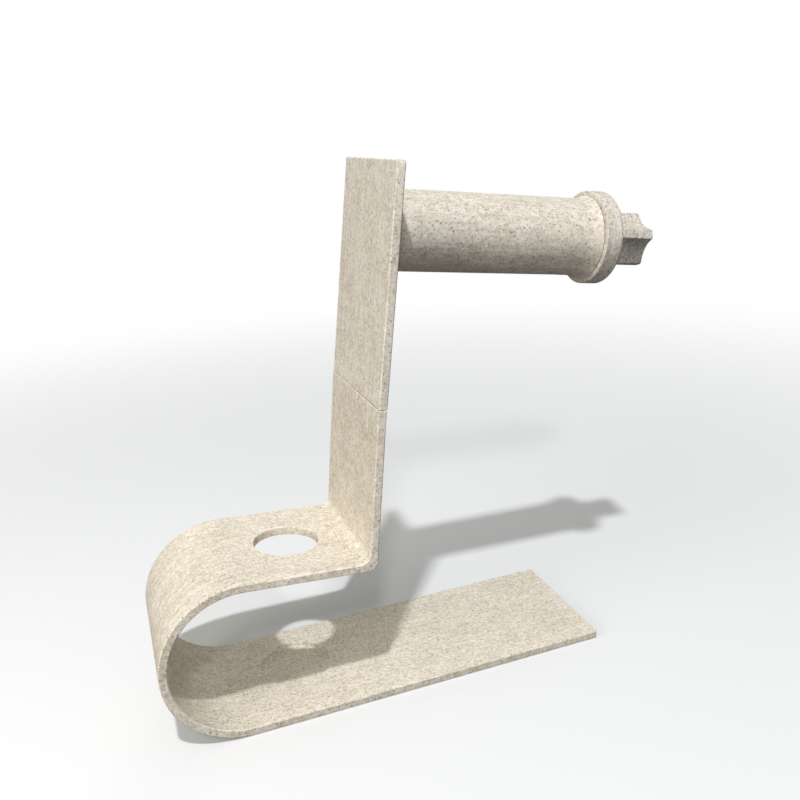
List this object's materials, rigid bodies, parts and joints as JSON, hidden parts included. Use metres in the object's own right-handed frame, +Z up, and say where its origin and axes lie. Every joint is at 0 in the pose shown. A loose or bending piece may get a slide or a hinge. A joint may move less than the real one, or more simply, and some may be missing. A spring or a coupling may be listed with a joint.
{
  "type": "toothbrush organizer",
  "caption": "Counter stand bent from one band, with a handle hole over a foot pocket and a post that carries a slotted sleeve with a hand-turned tube winding key.",
  "frame": {"origin": "on the underside of the base, below the foot pocket's centre along the band and midway across it", "axes": "+X along the base to its free end, +Y to the back, +Z up"},
  "size_m": [0.1645, 0.0452, 0.1543],
  "materials": {
    "speckled_print": "matte, stone-speckled, with fine layer lines"
  },
  "bodies": {
    "root": {"lower_stand": "speckled_print", "squeezer_arm": "speckled_print"},
    "key": {"winding_key": "speckled_print"}
  },
  "joints": [
    {"name": "key_turn", "type": "hinge", "parent": "root", "child": "key", "pos_m": [0.06856, 0.00023, 0.13055], "axis": [0.9908, 0, -0.1357], "continuous": true}
  ]
}
